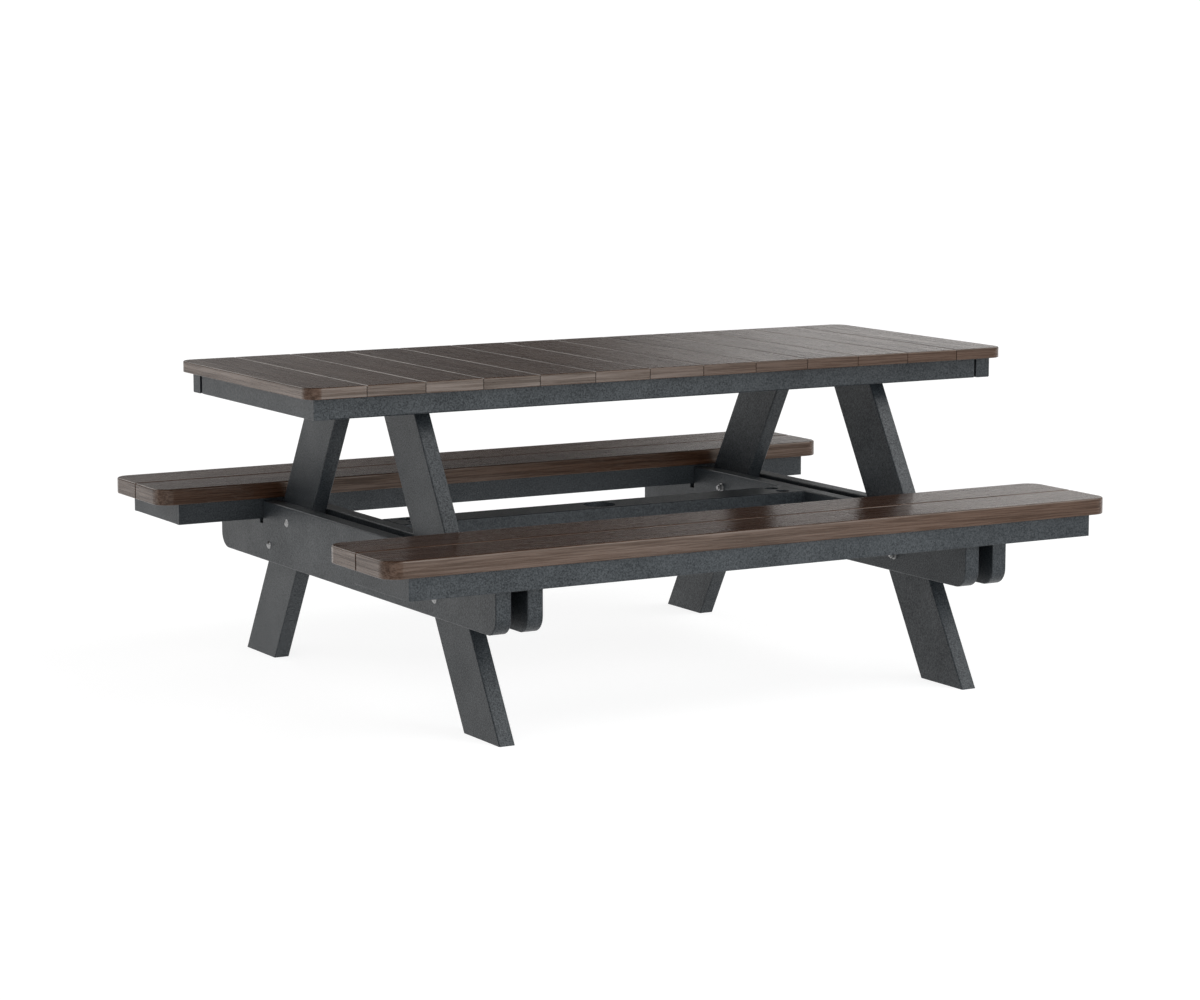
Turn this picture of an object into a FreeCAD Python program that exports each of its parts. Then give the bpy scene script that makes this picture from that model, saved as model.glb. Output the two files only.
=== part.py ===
import FreeCAD, Part
import math
import os

os.makedirs("parts", exist_ok=True)

# Six-foot recycled-plastic picnic table, millimetres, floor at Z = 0, length along X.

# --- stock -----------------------------------------------------------------
framing = 38.0             # thickness of the grey framing boards
plank_width = 142.0        # width of leg, crossbeam and seat boards
arris = 3.0                # rounding along the long edges of the boards
skin_gap = 0.5             # hairline left between boards that butt together

# --- tabletop --------------------------------------------------------------
table_height = 750.0
top_thickness = 25.4
top_depth = 700.0
top_board_count = 13
top_board_width = 139.7
top_board_gap = 1.6
top_corner_radius = 34.0

# --- frame under the tabletop ----------------------------------------------
apron_inset = 25.4         # how far the apron sits in from the tabletop edge
apron_height = 47.5
rear_apron_gap = 12.5      # end aprons stop short of the rear rail
right_rail_gap = 6.0       # front rail stops short of the right end apron

# --- seats -----------------------------------------------------------------
seat_height = 434.0
seat_thickness = 38.0
seat_length = 1859.0
seat_outer = 745.0         # distance from the table centre line to the outer seat edge
seat_board_gap = 5.0
seat_corner_radius = 38.0
seat_arris = 4.0
seat_frame_inset = 7.0
seat_frame_end_inset = 53.0
seat_rail_thickness = 14.0
seat_frame_height = 49.0

# --- end frames ------------------------------------------------------------
leg_centre = 604.0         # X of the middle of each leg
leg_angle = 30.0           # lean of each leg from the vertical
foot_outer = 655.0         # outer edge of the foot, from the centre line
beam_half_length = 711.0
beam_bottom = 247.0
beam_top = 391.0
beam_corner_radius = 38.0
notch_relief_width = 18.0
notch_relief_depth = 12.0

# --- stretcher between the end frames --------------------------------------
stretcher_width = 104.0
umbrella_hole_radius = 38.0
stretcher_cleat_length = 80.0
lag_spacing = 50.0         # across the stretcher
lag_from_end = 47.0
counterbore_radius = 17.5
counterbore_depth = 12.0

# --- fasteners -------------------------------------------------------------
bolt_radius = 4.75
bolt_head_radius = 9.5
bolt_head_height = 5.0
washer_radius = 11.0
washer_thickness = 2.0
nut_across_flats = 14.3
nut_height = 8.0
bolt_stub = 4.0            # thread showing past the nut
lower_bolts = ((328.0, 353.0), (431.0, 287.0))
upper_bolt_spacing = 70.0
screw_radius = 2.5
screw_head_radius = 4.5
screw_head_height = 3.0
screw_pocket_radius = 5.5
top_screw_pocket = 10.0
top_screw_length = 55.0
seat_screw_pocket = 10.0
seat_screw_length = 64.0
top_screw_offset = 40.0    # each side of a board's middle
top_screw_end_margin = 20.0
end_apron_screws = (-220.0, 0.0, 200.0)
leg_cleat_screws = (-80.0, 80.0)
leg_cleat_screw_shift = 6.0    # keeps the screw off the joint between two boards
lag_radius = 4.0
lag_head_height = 5.5
lag_length = 55.0
lag_washer_radius = 13.0
cleat_lag_length = 100.0
cleat_lag_offset = 40.0    # each side of the centre line
seat_lag_length = 80.0
seat_lag_pocket = 50.0
seat_lag_pocket_radius = 14.5
seat_lag_places = (500.0, 600.0)

# --- cutting allowances ----------------------------------------------------
overrun = 1.0              # a cutting tool runs this far past the face it breaks
touch = 0.01               # two places closer than this are the same place
shortest_rounded_edge = 25.0

# --- derived positions -----------------------------------------------------
top_length = top_board_count * top_board_width + (top_board_count - 1) * top_board_gap
top_underside = table_height - top_thickness
apron_bottom = top_underside - apron_height
apron_end = top_length / 2 - apron_inset
apron_side = top_depth / 2 - apron_inset
seat_inner = seat_outer - 2 * plank_width - seat_board_gap
seat_underside = seat_height - seat_thickness
seat_frame_outer = seat_outer - seat_frame_inset
seat_frame_inner = seat_inner + seat_frame_inset
seat_frame_end = seat_length / 2 - seat_frame_end_inset
notch_floor = seat_underside - seat_frame_height
notch_wall = seat_frame_inner - skin_gap
inner_beam_face = leg_centre - framing / 2 - framing
outer_beam_face = leg_centre + framing / 2 + framing
stretcher_half = inner_beam_face - skin_gap
leg_slope = math.tan(math.radians(leg_angle))
leg_run = plank_width / math.cos(math.radians(leg_angle))
leg_cleat_half = apron_side - framing - skin_gap
stretcher_bottom = beam_top - framing


# --- small helpers ---------------------------------------------------------
def vec(x, y, z):
    return FreeCAD.Vector(x, y, z)


def save(name, shape):
    if shape.ShapeType == "Compound" and len(shape.Solids) == 1:
        shape = shape.Solids[0]
    shape.exportStep("parts/" + name + ".step")


def block(x0, x1, y0, y1, z0, z1):
    return Part.makeBox(x1 - x0, y1 - y0, z1 - z0, vec(x0, y0, z0))


def edge_ends(edge):
    return edge.Vertexes[0].Point, edge.Vertexes[-1].Point


def edges_along(shape, axis):
    """Straight edges of a board that run along one axis (0, 1 or 2)."""
    chosen = []
    for edge in shape.Edges:
        first, last = edge_ends(edge)
        span = last - first
        if abs(span[axis]) > 0.999 * span.Length and span.Length > arris:
            chosen.append(edge)
    return chosen


def edges_at_height(shape, height):
    """All edges lying flat at one height."""
    chosen = []
    for edge in shape.Edges:
        box = edge.BoundBox
        if abs(box.ZMin - height) < touch and abs(box.ZMax - height) < touch:
            chosen.append(edge)
    return chosen


def edges_on_faces(shape, axis, low, high):
    """Edges lying on the two broad faces of a board, at low and high along an axis."""
    chosen = []
    for edge in shape.Edges:
        box = edge.BoundBox
        near = (box.XMin, box.YMin, box.ZMin)[axis]
        far = (box.XMax, box.YMax, box.ZMax)[axis]
        flat = abs(far - near) < touch
        on_face = abs(near - low) < touch or abs(near - high) < touch
        if flat and on_face and edge.Length > shortest_rounded_edge:
            chosen.append(edge)
    return chosen


def rounded_block(x0, x1, y0, y1, z0, z1, axis, radius=arris):
    """Board with its four long edges rounded."""
    board = block(x0, x1, y0, y1, z0, z1)
    return board.makeFillet(radius, edges_along(board, axis))


def round_plan_corners(board, corners, radius):
    """Round the upright corners of a board at the given X, Y positions."""
    chosen = []
    for edge in edges_along(board, 2):
        point = edge.Vertexes[0].Point
        for x, y in corners:
            if abs(point.x - x) < touch and abs(point.y - y) < touch:
                chosen.append(edge)
    return board.makeFillet(radius, chosen)


def cylinder(x, y, z, radius, length, direction):
    return Part.makeCylinder(radius, length, vec(x, y, z), direction)


def upright(x, y, z, radius, length):
    return cylinder(x, y, z, radius, length, vec(0, 0, 1))


def cut_all(shape, tools):
    return shape.cut(Part.makeCompound(tools))


# --- where the fasteners go ------------------------------------------------
def top_board_x(index):
    pitch = top_board_width + top_board_gap
    return -top_length / 2 + top_board_width / 2 + index * pitch


def top_screw_points():
    """Two screws per tabletop board in each side rail, and one in the centre rail."""
    points = []
    side = apron_side - framing / 2
    for index in range(top_board_count):
        x = top_board_x(index)
        for shift in (-top_screw_offset, top_screw_offset):
            if abs(x + shift) > apron_end - framing - top_screw_end_margin:
                continue
            points.append((x + shift, side))
            points.append((x + shift, -side))
        if abs(x) < stretcher_half - top_screw_offset:
            points.append((x, 0.0))
    return points


def end_apron_screw_points(end):
    return [(end * (apron_end - framing / 2), y) for y in end_apron_screws]


def leg_cleat_screw_points(end, layer):
    x = end * (leg_centre + layer * framing + leg_cleat_screw_shift)
    return [(x, y) for y in leg_cleat_screws]


def all_top_screw_points():
    points = top_screw_points()
    for end in (-1, 1):
        points = points + end_apron_screw_points(end)
        for layer in (-1, 1):
            points = points + leg_cleat_screw_points(end, layer)
    return points


def seat_cross_positions():
    """Middle X of the cross pieces that carry the seat boards."""
    end = seat_frame_end - framing / 2
    over_beam = outer_beam_face - framing / 2
    return (-end, -over_beam, 0.0, over_beam, end)


def seat_screw_points(side):
    """One screw through every cross piece into every seat board, per side of the table."""
    inner_board = seat_inner + plank_width / 2
    outer_board = seat_outer - plank_width / 2
    points = []
    for x in seat_cross_positions():
        for y in (inner_board, outer_board):
            points.append((x, side * y))
    return points


def stretcher_lag_points():
    x = stretcher_half - lag_from_end
    y = lag_spacing / 2
    return [(x, y), (x, -y), (-x, y), (-x, -y)]


def seat_lag_points(end):
    """Lags driven up through an outer crossbeam into the seat cleats above it."""
    x = end * (outer_beam_face - framing / 2)
    return [(x, side * y) for side in (-1, 1) for y in seat_lag_places]


def upper_bolt_points():
    """Y and height of the two bolts through the top of a leg."""
    height = top_underside - apron_height / 2
    middle = foot_outer - height * leg_slope - leg_run / 2
    return ((middle - upper_bolt_spacing / 2, height), (middle + upper_bolt_spacing / 2, height))


def bolt_points():
    return tuple(lower_bolts) + upper_bolt_points()


def bolt_bores(end, side, points):
    """Holes for the bolts of one leg, straight through its end frame."""
    bores = []
    start = end * leg_centre - 1.5 * framing - overrun
    length = 3 * framing + 2 * overrun
    for y, z in points:
        bores.append(cylinder(start, side * y, z, bolt_radius, length, vec(1, 0, 0)))
    return bores


# --- tabletop --------------------------------------------------------------
def tabletop_board(index):
    middle = top_board_x(index)
    x0 = middle - top_board_width / 2
    x1 = middle + top_board_width / 2
    half = top_depth / 2
    board = block(x0, x1, -half, half, top_underside, table_height)
    if index == 0:
        board = round_plan_corners(board, ((x0, -half), (x0, half)), top_corner_radius)
    if index == top_board_count - 1:
        board = round_plan_corners(board, ((x1, -half), (x1, half)), top_corner_radius)
    board = board.makeFillet(arris, edges_at_height(board, table_height))
    board = board.makeFillet(arris / 2, edges_at_height(board, top_underside))
    pilots = []
    depth = top_screw_pocket + top_screw_length - apron_height
    for x, y in all_top_screw_points():
        if x0 < x < x1:
            pilots.append(upright(x, y, top_underside - overrun, screw_radius, depth + overrun))
    return cut_all(board, pilots)


def drill_rail(rail, low, high, points, pocket):
    """Screw holes with wide pockets underneath, bored up through a rail."""
    tools = []
    for x, y in points:
        tools.append(upright(x, y, low - overrun, screw_radius, high - low + 2 * overrun))
        tools.append(upright(x, y, low - overrun, screw_pocket_radius, pocket + overrun))
    return cut_all(rail, tools)


def top_rail(side):
    """Long apron rail under the front (side -1) or rear (side +1) of the tabletop."""
    x0 = -apron_end
    x1 = apron_end
    if side < 0:
        x0 = -apron_end + framing + skin_gap
        x1 = apron_end - framing - right_rail_gap
    y0, y1 = sorted((side * apron_side, side * (apron_side - framing)))
    rail = rounded_block(x0, x1, y0, y1, apron_bottom, top_underside, 0)
    points = [p for p in top_screw_points() if p[1] * side > framing]
    return drill_rail(rail, apron_bottom, top_underside, points, top_screw_pocket)


def end_apron(end):
    """Short apron board across one end, covering the end of the front rail."""
    x0, x1 = sorted((end * apron_end, end * (apron_end - framing)))
    rear = apron_side - framing - rear_apron_gap
    apron = rounded_block(x0, x1, -apron_side, rear, apron_bottom, top_underside, 1)
    points = end_apron_screw_points(end)
    return drill_rail(apron, apron_bottom, top_underside, points, top_screw_pocket)


def centre_rail():
    rail = block(-stretcher_half, stretcher_half, -framing / 2, framing / 2,
                 apron_bottom, top_underside)
    points = [p for p in top_screw_points() if abs(p[1]) < framing]
    return drill_rail(rail, apron_bottom, top_underside, points, top_screw_pocket)


def leg_top_cleat(end, layer):
    """Cross cleat clamping the leg tops; layer +1 lies outside the legs, -1 inside."""
    middle = end * (leg_centre + layer * framing)
    cleat = rounded_block(middle - framing / 2, middle + framing / 2,
                          -leg_cleat_half, leg_cleat_half,
                          apron_bottom, top_underside, 1)
    bores = bolt_bores(end, 1, upper_bolt_points()) + bolt_bores(end, -1, upper_bolt_points())
    cleat = cut_all(cleat, bores)
    points = leg_cleat_screw_points(end, layer)
    return drill_rail(cleat, apron_bottom, top_underside, points, top_screw_pocket)


# --- end frames ------------------------------------------------------------
def leg(end, side):
    x0 = end * leg_centre - framing / 2
    top_outer = foot_outer - top_underside * leg_slope
    outline = [
        vec(x0, side * foot_outer, 0),
        vec(x0, side * top_outer, top_underside),
        vec(x0, side * (top_outer - leg_run), top_underside),
        vec(x0, side * (foot_outer - leg_run), 0),
    ]
    face = Part.Face(Part.makePolygon(outline + [outline[0]]))
    board = face.extrude(vec(framing, 0, 0))
    slanted = []
    for edge in board.Edges:
        box = edge.BoundBox
        if box.ZLength > framing and box.XLength < touch:
            slanted.append(edge)
    board = board.makeFillet(arris, slanted)
    return cut_all(board, bolt_bores(end, side, bolt_points()))


def crossbeam(end, layer):
    """Seat-carrying crossbeam; layer +1 lies outside the legs, -1 inside."""
    middle = end * (leg_centre + layer * framing)
    x0 = middle - framing / 2
    beam = block(x0, x0 + framing, -beam_half_length, beam_half_length, beam_bottom, beam_top)
    lower_corners = []
    for edge in edges_along(beam, 0):
        if abs(edge.Vertexes[0].Point.z - beam_bottom) < touch:
            lower_corners.append(edge)
    beam = beam.makeFillet(beam_corner_radius, lower_corners)
    notches = []
    for side in (-1, 1):
        y0, y1 = sorted((side * notch_wall, side * (beam_half_length + overrun)))
        notches.append(block(x0 - overrun, x0 + framing + overrun, y0, y1,
                             notch_floor, beam_top + overrun))
    beam = cut_all(beam, notches)
    beam = beam.makeFillet(arris, edges_on_faces(beam, 0, x0, x0 + framing))
    reliefs = []
    for side in (-1, 1):
        y0, y1 = sorted((side * notch_wall, side * (notch_wall + notch_relief_width)))
        reliefs.append(block(x0 - overrun, x0 + framing + overrun, y0, y1,
                             notch_floor - notch_relief_depth, notch_floor + arris))
    beam = cut_all(beam, reliefs)
    bores = bolt_bores(end, 1, lower_bolts) + bolt_bores(end, -1, lower_bolts)
    if layer < 0:
        bores = bores + cleat_lag_bores(end)
    else:
        bores = bores + seat_lag_bores(end)
    return cut_all(beam, bores)


def seat_lag_bores(end):
    """Lag holes up through an outer crossbeam, with deep pockets for their heads."""
    bores = []
    for x, y in seat_lag_points(end):
        bores.append(upright(x, y, beam_bottom - overrun, lag_radius, seat_height - beam_bottom))
        bores.append(upright(x, y, beam_bottom - overrun, seat_lag_pocket_radius,
                             seat_lag_pocket + overrun))
    return bores


# --- seats -----------------------------------------------------------------
def seat_board(side, row):
    """Row 0 is the board nearer the table, row 1 the outer one."""
    near = seat_inner + row * (plank_width + seat_board_gap)
    y0, y1 = sorted((side * near, side * (near + plank_width)))
    half = seat_length / 2
    board = block(-half, half, y0, y1, seat_underside, seat_height)
    free_edge = side * (near if row == 0 else near + plank_width)
    board = round_plan_corners(board, ((-half, free_edge), (half, free_edge)), seat_corner_radius)
    board = board.makeFillet(seat_arris, edges_at_height(board, seat_height))
    board = board.makeFillet(seat_arris / 2, edges_at_height(board, seat_underside))
    depth = seat_screw_pocket + seat_screw_length - seat_frame_height
    pilots = []
    for x, y in seat_screw_points(side):
        if y0 < y < y1:
            pilots.append(upright(x, y, seat_underside - overrun, screw_radius, depth + overrun))
    return cut_all(board, pilots)


def seat_rail(side, row):
    """Long side rail of a seat frame; row 0 faces the table, row 1 faces outward."""
    near = seat_frame_inner if row == 0 else seat_frame_outer - seat_rail_thickness
    y0, y1 = sorted((side * near, side * (near + seat_rail_thickness)))
    return rounded_block(-seat_frame_end, seat_frame_end, y0, y1,
                         notch_floor, seat_underside, 0, arris / 2)


def seat_cross_piece(side, x):
    """End board or cross cleat set between the two rails of a seat frame."""
    near = seat_frame_inner + seat_rail_thickness + skin_gap
    far = seat_frame_outer - seat_rail_thickness - skin_gap
    y0, y1 = sorted((side * near, side * far))
    piece = rounded_block(x - framing / 2, x + framing / 2, y0, y1,
                          notch_floor, seat_underside, 1, arris / 2)
    points = [p for p in seat_screw_points(side) if abs(p[0] - x) < touch]
    piece = drill_rail(piece, notch_floor, seat_underside, points, seat_screw_pocket)
    depth = seat_lag_length - (notch_floor - beam_bottom - seat_lag_pocket)
    lags = []
    for end in (-1, 1):
        for lag_x, lag_y in seat_lag_points(end):
            if abs(lag_x - x) < touch and lag_y * side > 0:
                lags.append(upright(lag_x, lag_y, notch_floor - overrun, lag_radius,
                                    depth + overrun))
    return cut_all(piece, lags) if lags else piece


# --- stretcher -------------------------------------------------------------
def stretcher():
    plank = rounded_block(-stretcher_half, stretcher_half,
                          -stretcher_width / 2, stretcher_width / 2,
                          stretcher_bottom, beam_top, 0)
    through = framing + 2 * overrun
    tools = [upright(0, 0, stretcher_bottom - overrun, umbrella_hole_radius, through)]
    for x, y in stretcher_lag_points():
        tools.append(upright(x, y, beam_top - counterbore_depth, counterbore_radius,
                             counterbore_depth + overrun))
        tools.append(upright(x, y, stretcher_bottom - overrun, lag_radius, through))
    return cut_all(plank, tools)


def cleat_lag_places(end):
    """Where the lags of a stretcher cleat enter the outer face of its crossbeam."""
    x = end * (inner_beam_face + framing)
    height = stretcher_bottom - framing / 2
    return [(x, y, height) for y in (-cleat_lag_offset, cleat_lag_offset)]


def cleat_lag_bores(end):
    bores = []
    for x, y, z in cleat_lag_places(end):
        start = x + end * overrun
        length = cleat_lag_length + overrun
        bores.append(cylinder(start, y, z, lag_radius, length, vec(-end, 0, 0)))
    return bores


def stretcher_cleat(end):
    x0, x1 = sorted((end * stretcher_half, end * (stretcher_half - stretcher_cleat_length)))
    half = stretcher_width / 2
    cleat = rounded_block(x0, x1, -half, half, stretcher_bottom - framing, stretcher_bottom, 0)
    tools = []
    for x, y in stretcher_lag_points():
        tools.append(upright(x, y, beam_top - counterbore_depth - lag_length, lag_radius, lag_length))
    tools = tools + cleat_lag_bores(end)
    return cut_all(cleat, tools)


# --- fasteners -------------------------------------------------------------
def hex_prism(across_flats, height):
    radius = across_flats / math.sqrt(3)
    corners = []
    for step in range(7):
        angle = math.radians(60 * step)
        corners.append(vec(radius * math.cos(angle), radius * math.sin(angle), 0))
    return Part.Face(Part.makePolygon(corners)).extrude(vec(0, 0, height))


def point_along(shape, x, y, z, end):
    """Turn a part drawn along +Z so that it points along X, away from one end frame."""
    shape.rotate(vec(0, 0, 0), vec(0, 1, 0), 90 * end)
    shape.translate(vec(x, y, z))
    return shape


def dome(radius, height):
    sphere_radius = (radius ** 2 + height ** 2) / (2 * height)
    ball = Part.makeSphere(sphere_radius, vec(0, 0, height - sphere_radius))
    return ball.common(block(-radius * 2, radius * 2, -radius * 2, radius * 2, 0, height * 2))


def all_bolt_places():
    places = []
    for end in (-1, 1):
        for side in (-1, 1):
            for y, z in bolt_points():
                places.append((end, side * y, z))
    return places


def carriage_bolts():
    length = 3 * framing + washer_thickness + nut_height + bolt_stub
    bolts = []
    for end, y, z in all_bolt_places():
        shank = Part.makeCylinder(bolt_radius, length, vec(0, 0, -length))
        bolt = shank.fuse(dome(bolt_head_radius, bolt_head_height)).removeSplitter()
        bolts.append(point_along(bolt, end * outer_beam_face, y, z, end))
    return Part.makeCompound(bolts)


def bolt_washers():
    washers = []
    for end, y, z in all_bolt_places():
        ring = Part.makeCylinder(washer_radius, washer_thickness, vec(0, 0, -washer_thickness))
        ring = ring.cut(Part.makeCylinder(bolt_radius, 3 * washer_thickness,
                                          vec(0, 0, -2 * washer_thickness)))
        washers.append(point_along(ring, end * inner_beam_face, y, z, end))
    return Part.makeCompound(washers)


def bolt_nuts():
    nuts = []
    for end, y, z in all_bolt_places():
        nut = hex_prism(nut_across_flats, nut_height)
        nut = nut.cut(Part.makeCylinder(bolt_radius, 3 * nut_height, vec(0, 0, -nut_height)))
        nut.translate(vec(0, 0, -nut_height - washer_thickness))
        nuts.append(point_along(nut, end * inner_beam_face, y, z, end))
    return Part.makeCompound(nuts)


def deck_screw(x, y, head_height, length):
    """Screw driven upward; head_height is the level of the head's seat."""
    shank = upright(x, y, head_height, screw_radius, length)
    head = upright(x, y, head_height - screw_head_height, screw_head_radius, screw_head_height)
    return shank.fuse(head)


def tabletop_screws():
    level = apron_bottom + top_screw_pocket
    return Part.makeCompound([deck_screw(x, y, level, top_screw_length)
                              for x, y in all_top_screw_points()])


def seat_screws():
    level = notch_floor + seat_screw_pocket
    points = seat_screw_points(-1) + seat_screw_points(1)
    return Part.makeCompound([deck_screw(x, y, level, seat_screw_length) for x, y in points])


def lag_screw(length):
    """Hex-headed lag along Z, its washer face at Z = 0 and its shank below."""
    shank = Part.makeCylinder(lag_radius, length, vec(0, 0, -length))
    washer = Part.makeCylinder(lag_washer_radius, washer_thickness)
    head = hex_prism(nut_across_flats, lag_head_height)
    head.translate(vec(0, 0, washer_thickness))
    return shank.fuse(washer).fuse(head)


def stretcher_lags():
    lags = []
    for x, y in stretcher_lag_points():
        lag = lag_screw(lag_length)
        lag.translate(vec(x, y, beam_top - counterbore_depth))
        lags.append(lag)
    return Part.makeCompound(lags)


def cleat_lags():
    lags = []
    for end in (-1, 1):
        for x, y, z in cleat_lag_places(end):
            lags.append(point_along(lag_screw(cleat_lag_length), x, y, z, end))
    return Part.makeCompound(lags)


def seat_lags():
    lags = []
    for end in (-1, 1):
        for x, y in seat_lag_points(end):
            lag = lag_screw(seat_lag_length)
            lag.rotate(vec(0, 0, 0), vec(1, 0, 0), 180)
            lag.translate(vec(x, y, beam_bottom + seat_lag_pocket))
            lags.append(lag)
    return Part.makeCompound(lags)


# --- build -----------------------------------------------------------------
for number in range(top_board_count):
    save("tabletop_board_%02d" % (number + 1), tabletop_board(number))

save("tabletop_front_rail", top_rail(-1))
save("tabletop_rear_rail", top_rail(1))
save("tabletop_left_end_apron", end_apron(-1))
save("tabletop_right_end_apron", end_apron(1))
save("tabletop_centre_rail", centre_rail())

for end, end_name in ((-1, "left"), (1, "right")):
    save(end_name + "_outer_leg_top_cleat", leg_top_cleat(end, 1))
    save(end_name + "_inner_leg_top_cleat", leg_top_cleat(end, -1))
    save(end_name + "_outer_crossbeam", crossbeam(end, 1))
    save(end_name + "_inner_crossbeam", crossbeam(end, -1))
    save(end_name + "_front_leg", leg(end, -1))
    save(end_name + "_rear_leg", leg(end, 1))
    save(end_name + "_stretcher_cleat", stretcher_cleat(end))

cross_names = ("left_end_board", "left_cross_cleat", "middle_cross_cleat",
               "right_cross_cleat", "right_end_board")
for side, seat_name in ((-1, "front_seat"), (1, "rear_seat")):
    save(seat_name + "_inner_board", seat_board(side, 0))
    save(seat_name + "_outer_board", seat_board(side, 1))
    save(seat_name + "_inner_rail", seat_rail(side, 0))
    save(seat_name + "_outer_rail", seat_rail(side, 1))
    for cross_name, position in zip(cross_names, seat_cross_positions()):
        save(seat_name + "_" + cross_name, seat_cross_piece(side, position))

save("stretcher", stretcher())
save("stretcher_lags", stretcher_lags())
save("stretcher_cleat_lags", cleat_lags())
save("seat_lags", seat_lags())
save("carriage_bolts", carriage_bolts())
save("carriage_bolt_washers", bolt_washers())
save("carriage_bolt_nuts", bolt_nuts())
save("tabletop_screws", tabletop_screws())
save("seat_screws", seat_screws())
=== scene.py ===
import bpy
import math
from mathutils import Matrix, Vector


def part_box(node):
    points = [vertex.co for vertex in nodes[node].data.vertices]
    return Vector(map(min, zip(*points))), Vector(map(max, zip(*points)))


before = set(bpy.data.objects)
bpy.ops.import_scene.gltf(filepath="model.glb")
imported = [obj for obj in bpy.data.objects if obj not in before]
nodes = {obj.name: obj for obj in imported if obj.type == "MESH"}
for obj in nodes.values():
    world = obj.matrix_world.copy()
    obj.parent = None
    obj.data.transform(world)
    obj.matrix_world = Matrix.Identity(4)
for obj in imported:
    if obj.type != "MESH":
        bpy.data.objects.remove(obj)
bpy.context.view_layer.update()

# Picnic table in recycled-plastic lumber, metres, floor at Z = 0, length along X.

# --- names and sizes taken from the frame --------------------------------------
TOP_BOARDS = [name for name in nodes if name.startswith("tabletop_board")]
SEAT_BOARDS = [name for name in nodes if name.endswith(("_inner_board", "_outer_board"))]
FASTENERS = [name for name in nodes if name.endswith(("_screws", "_lags")) or "bolt" in name]


def low_corner(name):
    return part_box(name)[0]


top_start = low_corner("tabletop_board_01").x
top_pitch = low_corner("tabletop_board_02").x - top_start
seat_start = low_corner("front_seat_outer_board").y
seat_pitch = low_corner("front_seat_inner_board").y - seat_start


# --- node building -------------------------------------------------------------
class Number:
    """A number that varies over a surface; arithmetic on it adds Math nodes."""

    def __init__(self, owner, socket):
        self.owner = owner
        self.socket = socket

    def __add__(self, other):
        return self.owner.maths("ADD", self, other)

    def __sub__(self, other):
        return self.owner.maths("SUBTRACT", self, other)

    def __rsub__(self, other):
        return self.owner.maths("SUBTRACT", other, self)

    def __mul__(self, other):
        return self.owner.maths("MULTIPLY", self, other)

    def __truediv__(self, other):
        return self.owner.maths("DIVIDE", self, other)

    def __rtruediv__(self, other):
        return self.owner.maths("DIVIDE", other, self)

    def __gt__(self, other):
        return self.owner.maths("GREATER_THAN", self, other)

    def __lt__(self, other):
        return self.owner.maths("LESS_THAN", self, other)

    def __abs__(self):
        return self.owner.maths("ABSOLUTE", self)

    def __floor__(self):
        return self.owner.maths("FLOOR", self)

    __radd__ = __add__
    __rmul__ = __mul__


# The Mix node has a set of sockets for each kind of data, with the same names in each,
# so they go by number: its two inputs and its result.
MIX_SOCKETS = {"VECTOR": (4, 5, 1), "RGBA": (6, 7, 2)}


class Nodes:
    """A node tree being put together, for a finish or for the studio's light."""

    def __init__(self, owner):
        owner.use_nodes = True
        self.tree = owner.node_tree
        self.tree.nodes.clear()
        self.coordinates = self.add("ShaderNodeTexCoord")

    def add(self, kind, settings=None, inputs=None):
        """Add a node, with its settings first and then its socket values or links."""
        node = self.tree.nodes.new(kind)
        for setting, value in (settings or {}).items():
            setattr(node, setting, value)
        for socket, value in (inputs or {}).items():
            source = value.socket if isinstance(value, Number) else value
            if isinstance(source, bpy.types.NodeSocket):
                self.tree.links.new(source, node.inputs[socket])
            else:
                node.inputs[socket].default_value = source
        return node

    def number(self, kind, settings=None, inputs=None):
        return Number(self, self.add(kind, settings, inputs).outputs[0])

    def maths(self, operation, first, second=0.0):
        return self.number("ShaderNodeMath", {"operation": operation}, {0: first, 1: second})

    def split(self, vector):
        node = self.add("ShaderNodeSeparateXYZ", None, {0: vector})
        return [Number(self, output) for output in node.outputs]

    def span(self, value, low, high, out_low=0.0, out_high=1.0):
        """Stretch a range of values onto another, held at both ends."""
        inputs = {"Value": value, "From Min": low, "From Max": high,
                  "To Min": out_low, "To Max": out_high}
        return self.number("ShaderNodeMapRange", {"clamp": True}, inputs)


class Finish(Nodes):
    """One surface finish: a material being put together."""

    def __init__(self, name):
        self.material = bpy.data.materials.new(name)
        super().__init__(self.material)
        self.place = self.coordinates.outputs["Object"]
        self.facing = self.coordinates.outputs["Normal"]

    def join(self, x, y, z):
        return self.add("ShaderNodeCombineXYZ", None, {0: x, 1: y, 2: z}).outputs[0]

    def stretch(self, vector, factors):
        settings = {"operation": "MULTIPLY"}
        return self.add("ShaderNodeVectorMath", settings, {0: vector, 1: factors}).outputs[0]

    def blend(self, kind, mask, first, second):
        """Mix two vectors or two colours, from the first to the second as the mask rises."""
        first_input, second_input, result = MIX_SOCKETS[kind]
        inputs = {"Factor": mask, first_input: first, second_input: second}
        return self.add("ShaderNodeMix", {"data_type": kind}, inputs).outputs[result]

    def noise(self, place, scale, detail, roughness=0.5, distortion=0.0):
        inputs = {"Vector": place, "Scale": scale, "Detail": detail,
                  "Roughness": roughness, "Distortion": distortion}
        return self.number("ShaderNodeTexNoise", None, inputs)

    def relief(self, height, strength, distance):
        inputs = {"Height": height, "Strength": strength, "Distance": distance}
        return self.add("ShaderNodeBump", None, inputs).outputs[0]

    def surface(self, inputs):
        shader = self.add("ShaderNodeBsdfPrincipled", None, inputs)
        self.add("ShaderNodeOutputMaterial", None, {"Surface": shader.outputs[0]})
        return self.material


def rgb(red, green, blue):
    return (red, green, blue, 1.0)


def layered(middle, *layers):
    """Noises added up about a middle value, each given with its contrast."""
    swings = [(noise - 0.5) * contrast for noise, contrast in layers]
    return sum(swings[1:], swings[0]) + middle


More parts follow.
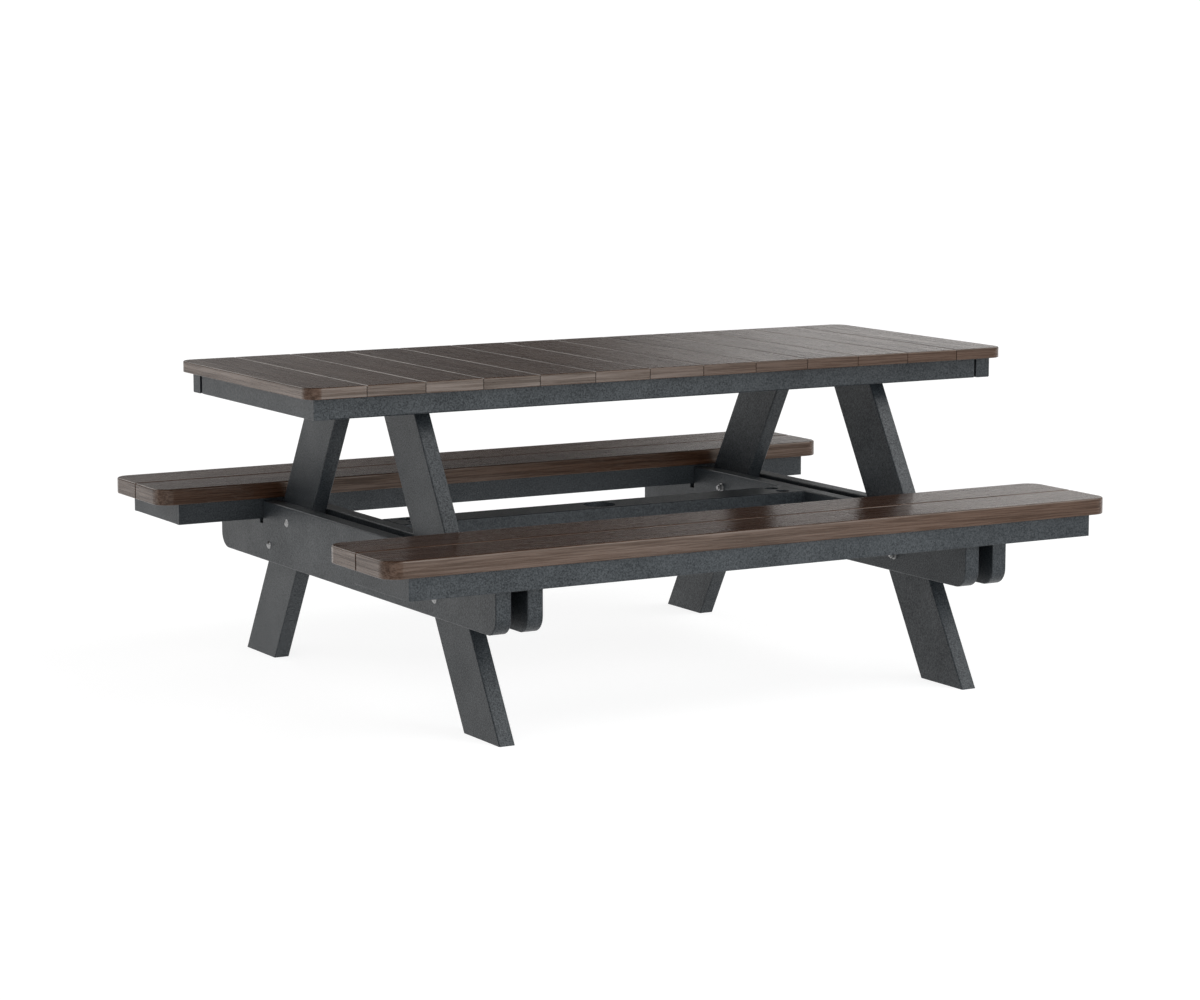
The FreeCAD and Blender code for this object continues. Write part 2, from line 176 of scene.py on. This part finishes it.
# --- wood-grain boards -------------------------------------------------------
ALONG_X = 0
ALONG_Y = 1
END_CUT_SLOPE = 0.7    # a face is an end cut where its normal runs this far along the board
GRAIN_SHIFT = 1.37     # how far on in the grain each board starts from the last one


class BoardFinish(Finish):
    """Wood grain on a row of boards, where every board has a stretch of its own."""

    def __init__(self, name, along, start, pitch):
        super().__init__(name)
        self.along = along
        x, y, z = self.split(self.place)
        across = x if along == ALONG_Y else y
        self.index = math.floor((across - start) / pitch)
        shift = self.index * GRAIN_SHIFT + 0.5
        self.board_place = self.join(x + shift, y + shift, z)
        if along == ALONG_Y:
            self.cut_place = self.join(x + shift, y, z + shift)
        else:
            self.cut_place = self.join(x, y + shift, z + shift)
        self.end_cut = abs(self.split(self.facing)[along]) > END_CUT_SLOPE

    def grain(self, fine_across, fine_along, detail, roughness=0.5, distortion=0.0):
        """Noise drawn out along a board, and across its ends where it is cut off.

        The two finenesses are the noise's scale per metre in each direction.
        """
        runs = [(fine_along, fine_across, fine_across), (fine_across, fine_along, fine_across)]
        board = self.stretch(self.board_place, runs[self.along])
        cut = self.stretch(self.cut_place, runs[1 - self.along])
        place = self.blend("VECTOR", self.end_cut, board, cut)
        return self.noise(place, 1.0, detail, roughness, distortion)

    def board_tone(self):
        """A shade for each board, from 0 to 1."""
        return self.number("ShaderNodeTexWhiteNoise", {"noise_dimensions": "1D"},
                           {"W": self.index + 0.5})


def board_finish(name, along, start, pitch):
    """Dark brown plastic with an embossed grain, glossier on the grain's high streaks."""
    finish = BoardFinish(name, along, start, pitch)
    figure = finish.grain(26.0, 1.2, detail=2.0, distortion=0.8)
    streaks = finish.grain(150.0, 3.0, detail=3.0, roughness=0.6, distortion=0.4)
    fibres = finish.grain(380.0, 9.0, detail=3.0, roughness=0.65)
    pores = finish.span(finish.grain(800.0, 60.0, detail=1.0), 0.60, 0.72)

    tone = layered(0.5, (figure, 0.9), (streaks, 2.2), (fibres, 1.8), (finish.board_tone(), 0.16))
    sheen = layered(0.26, (figure, 0.4), (streaks, 2.0), (fibres, 1.6))
    dark_brown = rgb(0.024, 0.0096, 0.0048)
    light_brown = rgb(0.056, 0.0250, 0.0130)
    height = fibres * 0.6 + streaks + figure * 1.5 - pores * 0.5
    return finish.surface({
        "Base Color": finish.blend("RGBA", finish.span(tone, 0.0, 1.0), dark_brown, light_brown),
        "Roughness": finish.span(fibres + streaks * 0.5, 0.5, 1.0, out_low=0.22, out_high=0.33),
        "Specular IOR Level": 0.34,
        "Specular Tint": rgb(1.0, 0.93, 0.82),
        "Coat Weight": finish.span(sheen, 0.0, 1.0),
        "Coat Roughness": 0.2,
        "Coat Tint": rgb(1.0, 0.96, 0.90),
        "Normal": finish.relief(height, strength=0.5, distance=0.0004),
    })


# --- fine-textured framing ---------------------------------------------------
def framing_finish(name):
    """Slate-grey plastic with a fine pebbled skin."""
    finish = Finish(name)
    peel = finish.noise(finish.place, 300.0, detail=2.0, roughness=0.55)
    grit = finish.noise(finish.place, 900.0, detail=1.0)
    cloud = finish.noise(finish.place, 9.0, detail=3.0)
    tone = layered(0.40, (peel, 1.5), (grit, 0.8), (cloud, 0.4))
    dark_slate = rgb(0.006, 0.0080, 0.0098)
    light_slate = rgb(0.025, 0.0310, 0.0360)
    height = peel * 0.8 + grit * 0.25
    return finish.surface({
        "Base Color": finish.blend("RGBA", finish.span(tone, 0.0, 1.0), dark_slate, light_slate),
        "Roughness": finish.span(peel, 0.3, 0.7, out_low=0.36, out_high=0.52),
        "Specular IOR Level": 0.16,
        "Coat Weight": finish.span(tone, 0.05, 1.0),
        "Coat Roughness": 0.4,
        "Normal": finish.relief(height, strength=0.7, distance=0.0014),
    })


# --- stainless fasteners -----------------------------------------------------
def steel_finish(name):
    """Dull stainless steel, brushed along X."""
    finish = Finish(name)
    brushed_place = finish.stretch(finish.place, (300.0, 2400.0, 2400.0))
    brushed = finish.noise(brushed_place, 1.0, detail=2.0, roughness=0.6)
    stain = finish.span(finish.noise(finish.place, 420.0, detail=2.0), 0.35, 0.7)
    clean_steel = rgb(0.36, 0.36, 0.36)
    stained_steel = rgb(0.20, 0.20, 0.20)
    return finish.surface({
        "Base Color": finish.blend("RGBA", stain, clean_steel, stained_steel),
        "Metallic": 1.0,
        "Roughness": finish.span(brushed, 0.3, 0.7, out_low=0.26, out_high=0.42),
        "Normal": finish.relief(brushed, strength=0.15, distance=0.0002),
    })


def dress(names, material):
    for name in names:
        for mesh_slot in nodes[name].material_slots:
            mesh_slot.material = material


# The framing's finish goes on everything first, and then the boards and fasteners get theirs.
dress(nodes, framing_finish("slate_framing"))
dress(TOP_BOARDS, board_finish("tabletop_grain", ALONG_Y, top_start, top_pitch))
dress(SEAT_BOARDS, board_finish("seat_grain", ALONG_X, seat_start, seat_pitch))
dress(FASTENERS, steel_finish("stainless_steel"))


# --- floor, light and camera -------------------------------------------------
PLAIN = (1.0, 1.0, 1.0)
COOL = (0.90, 1.0, 1.06)
FLOOR_GREY = (0.25, 0.25, 0.25)


def pale_floor():
    """A wide round floor whose rim turns up, so that it meets the horizon."""
    reach = 390.0
    rim_height = 8.0
    steps = 96
    turns = [math.tau * step / steps for step in range(steps)]
    points = [(reach * math.cos(turn), reach * math.sin(turn), 0.0) for turn in turns]
    points += [(x, y, rim_height) for x, y, z in points]
    faces = [tuple(range(steps))]
    for step in range(steps):
        following = (step + 1) % steps
        faces.append((step, step + steps, following + steps, following))
    mesh = bpy.data.meshes.new("pale_floor")
    mesh.from_pydata(points, [], faces)
    floor = bpy.data.objects.new("pale_floor", mesh)
    bpy.context.scene.collection.objects.link(floor)
    mesh.materials.append(Finish("pale_floor").surface({
        "Base Color": rgb(*FLOOR_GREY),
        "Roughness": 0.9,
        "Specular IOR Level": 0.1,
        "Emission Color": rgb(*PLAIN),
        "Emission Strength": 0.85,
    }))


FULL_TURN = 360.0


class Dome(Nodes):
    """The studio round the table: directions in it, and soft panels of light.

    Angles are in degrees. A bearing runs from +Y towards +X, and an elevation from the
    horizon upwards.
    """

    def __init__(self, world):
        super().__init__(world)
        x, y, z = self.split(self.coordinates.outputs["Generated"])
        self.bearing = self.maths("ARCTAN2", x, y) * math.degrees(1.0)
        self.elevation = self.maths("ARCSINE", z) * math.degrees(1.0)

    def faded(self, distance, reach, fade):
        """1 within reach and 0 beyond it, with a faded edge this wide between them."""
        return self.span(distance, reach - fade / 2, reach + fade / 2, 1.0, 0.0)

    def panel(self, middle, reach, fade, brightness):
        """One soft panel, with its bearing and elevation and its half width and half height."""
        # How far round from the panel's middle, the short way.
        turns = (self.bearing - middle[0]) / FULL_TURN + 1.5
        across = abs(self.maths("FRACT", turns) - 0.5) * FULL_TURN
        up = abs(self.elevation - middle[1])
        width = self.faded(across, reach[0], fade[0])
        height = self.faded(up, reach[1], fade[1])
        return width * height * brightness


def studio_dome():
    """A dark studio with big soft panels round the table and none straight overhead."""
    world = bpy.data.worlds.new("studio_dome")
    bpy.context.scene.world = world
    dome = Dome(world)
    # Behind the table on the right: the gloss on the right ends of the tops.
    light = dome.panel(middle=(58, 23), reach=(23, 10), fade=(6, 10), brightness=1.6)
    light += dome.panel(middle=(42, 3), reach=(10.5, 3.2), fade=(4, 1.6), brightness=1.9)
    # Behind on the left, dimmer: the soft sheen on the left ends.
    light += dome.panel(middle=(2, 12), reach=(20, 14), fade=(12, 16), brightness=0.5)
    light += dome.panel(middle=(8, 2.5), reach=(24, 2.5), fade=(6, 2), brightness=0.55)
    # In front, low and wide: the front faces.
    light += dome.panel(middle=(168, 4), reach=(60, 12), fade=(40, 10), brightness=1.8)
    # In front and above, the widest: the general light.
    light += dome.panel(middle=(190, 34), reach=(88, 22), fade=(40, 20), brightness=1.4)
    # In front on the right, high: the upper faces of the splayed legs.
    light += dome.panel(middle=(128, 44), reach=(26, 14), fade=(20, 14), brightness=3.2)
    # On the left, high: the side faces, and the bright line on each board's eased edge.
    light += dome.panel(middle=(318, 36), reach=(34, 14), fade=(30, 16), brightness=1.3)
    light += dome.panel(middle=(352, 32), reach=(16, 11), fade=(12, 12), brightness=2.6)
    background = dome.add("ShaderNodeBackground", None, {"Strength": light})
    dome.add("ShaderNodeOutputWorld", None, {"Surface": background.outputs[0]})


LAMP_SIZE = 1.6
LAMP_RING_X = 3.0
LAMP_RING_Y = 2.7
TABLE_MIDDLE = Vector((0.0, 0.0, 0.5))


def soft_lamp(name, bearing, height, power, colour):
    """A square soft box on an oval ring round the table, aimed at its middle."""
    data = bpy.data.lights.new(name, "AREA")
    data.energy = power
    data.color = colour
    data.shape = "SQUARE"
    data.size = LAMP_SIZE
    lamp = bpy.data.objects.new(name, data)
    turn = math.radians(bearing)
    place = Vector((LAMP_RING_X * math.sin(turn), LAMP_RING_Y * math.cos(turn), height))
    lamp.location = place
    lamp.rotation_euler = (TABLE_MIDDLE - place).to_track_quat("-Z", "Y").to_euler()
    lamp.visible_camera = False
    bpy.context.scene.collection.objects.link(lamp)


CAMERA_PLACE = (-3.8441, -6.6546, 1.5172)
CAMERA_BEARING = 30.02
CAMERA_DIP = 8.26
LENS_MM = 98.52
SENSOR_MM = 36.0
CLIP_END = 2000.0


def studio_camera():
    """Low in front of the table and to its left, looking slightly down."""
    data = bpy.data.cameras.new("studio_camera")
    data.sensor_fit = "HORIZONTAL"
    data.sensor_width = SENSOR_MM
    data.lens = LENS_MM
    data.clip_end = CLIP_END
    camera = bpy.data.objects.new("studio_camera", data)
    camera.location = CAMERA_PLACE
    camera.rotation_euler = (math.radians(90.0 - CAMERA_DIP), 0.0, math.radians(-CAMERA_BEARING))
    bpy.context.scene.collection.objects.link(camera)
    bpy.context.scene.camera = camera


pale_floor()
studio_dome()
soft_lamp("front_soft_box", bearing=168.0, height=0.9, power=20.0, colour=COOL)
soft_lamp("left_soft_box", bearing=300.0, height=0.9, power=8.0, colour=PLAIN)
soft_lamp("right_soft_box", bearing=120.0, height=2.4, power=14.0, colour=PLAIN)
studio_camera()
bpy.context.scene.view_settings.view_transform = "Standard"
